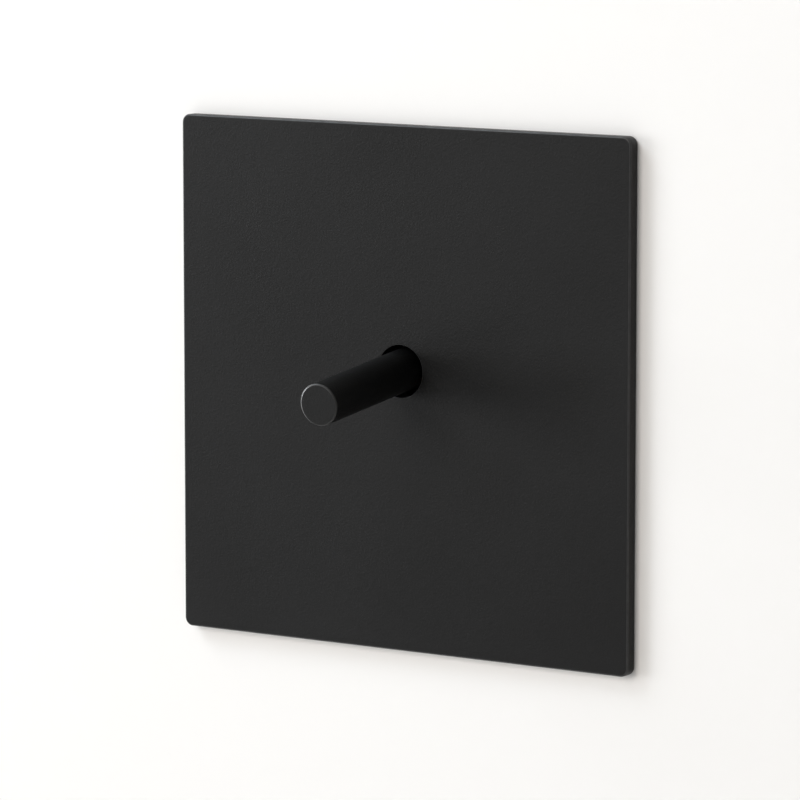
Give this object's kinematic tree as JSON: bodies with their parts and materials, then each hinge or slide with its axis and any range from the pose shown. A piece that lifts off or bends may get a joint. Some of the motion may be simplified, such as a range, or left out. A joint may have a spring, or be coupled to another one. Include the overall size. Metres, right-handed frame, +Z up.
{
  "type": "toggle wall switch",
  "caption": "Square matt black wall switch plate with a round toggle lever, on a steel carrier, with its contact mechanism and wire terminals behind.",
  "frame": {"origin": "centre of the plate's back, in the plane of the wall", "axes": "+X to the viewer's right when facing the switch, +Y into the wall, +Z up; the lever points to -Y"},
  "size_m": [0.086, 0.0523, 0.086],
  "materials": {
    "matt_black": "fine matt black powder coat",
    "zinc_steel": "bright zinc plated",
    "spring_steel": "bare spring steel",
    "brass": "machined brass",
    "copper": "rolled copper strip",
    "silver": "dull silver contact alloy",
    "dolly_nylon": "natural nylon",
    "cover_plastic": "moulded light grey",
    "base_plastic": "moulded dark grey"
  },
  "bodies": {
    "switch": {"face_plate": "matt_black", "plate_stud_lower_left": "brass", "stud_clip_lower_left": "spring_steel", "plate_stud_lower_right": "brass", "stud_clip_lower_right": "spring_steel", "plate_stud_upper_left": "brass", "stud_clip_upper_left": "spring_steel", "plate_stud_upper_right": "brass", "stud_clip_upper_right": "spring_steel", "carrier_frame": "zinc_steel", "box_screw_left": "zinc_steel", "box_screw_right": "zinc_steel", "earth_terminal": "brass", "earth_screw": "zinc_steel", "module_cover": "cover_plastic", "module_base": "base_plastic", "housing_screw_lower_left": "zinc_steel", "housing_screw_lower_right": "zinc_steel", "housing_screw_upper_left": "zinc_steel", "housing_screw_upper_right": "zinc_steel", "fixed_button_lower": "silver", "fixed_button_upper": "silver", "common_terminal": "brass", "upper_terminal": "brass", "lower_terminal": "brass", "terminal_screw_common": "zinc_steel", "terminal_screw_upper": "zinc_steel", "terminal_screw_lower": "zinc_steel"},
    "lever": {"toggle_lever": "matt_black", "pivot_pin": "spring_steel", "dolly": "dolly_nylon", "plunger_spring": "spring_steel"},
    "plunger": {"plunger": "brass"},
    "rocker": {"moving_contact": "copper", "moving_button_lower": "silver", "moving_button_upper": "silver"}
  },
  "joints": [
    {"name": "lever_hinge", "type": "hinge", "parent": "switch", "child": "lever", "pos_m": [0, 0.0004, 0.00333], "axis": [-1, 0, 0], "range_deg": [0, 13.4]},
    {"name": "plunger_slide", "type": "slide", "parent": "lever", "child": "plunger", "axis": [0, -0.9932, -0.1167], "range_m": [0, 0.0008], "stiffness_N_per_m": 300, "springref_m": -0.002, "deforming": ["plunger_spring"]},
    {"name": "contact_rock", "type": "hinge", "parent": "switch", "child": "rocker", "pos_m": [0, 0.01479, 0.00333], "axis": [-1, 0, 0], "range_deg": [-12, 0]}
  ],
  "couplings": [
    {"joint": "contact_rock", "follows": "lever_hinge", "ratio": -0.8955}
  ]
}
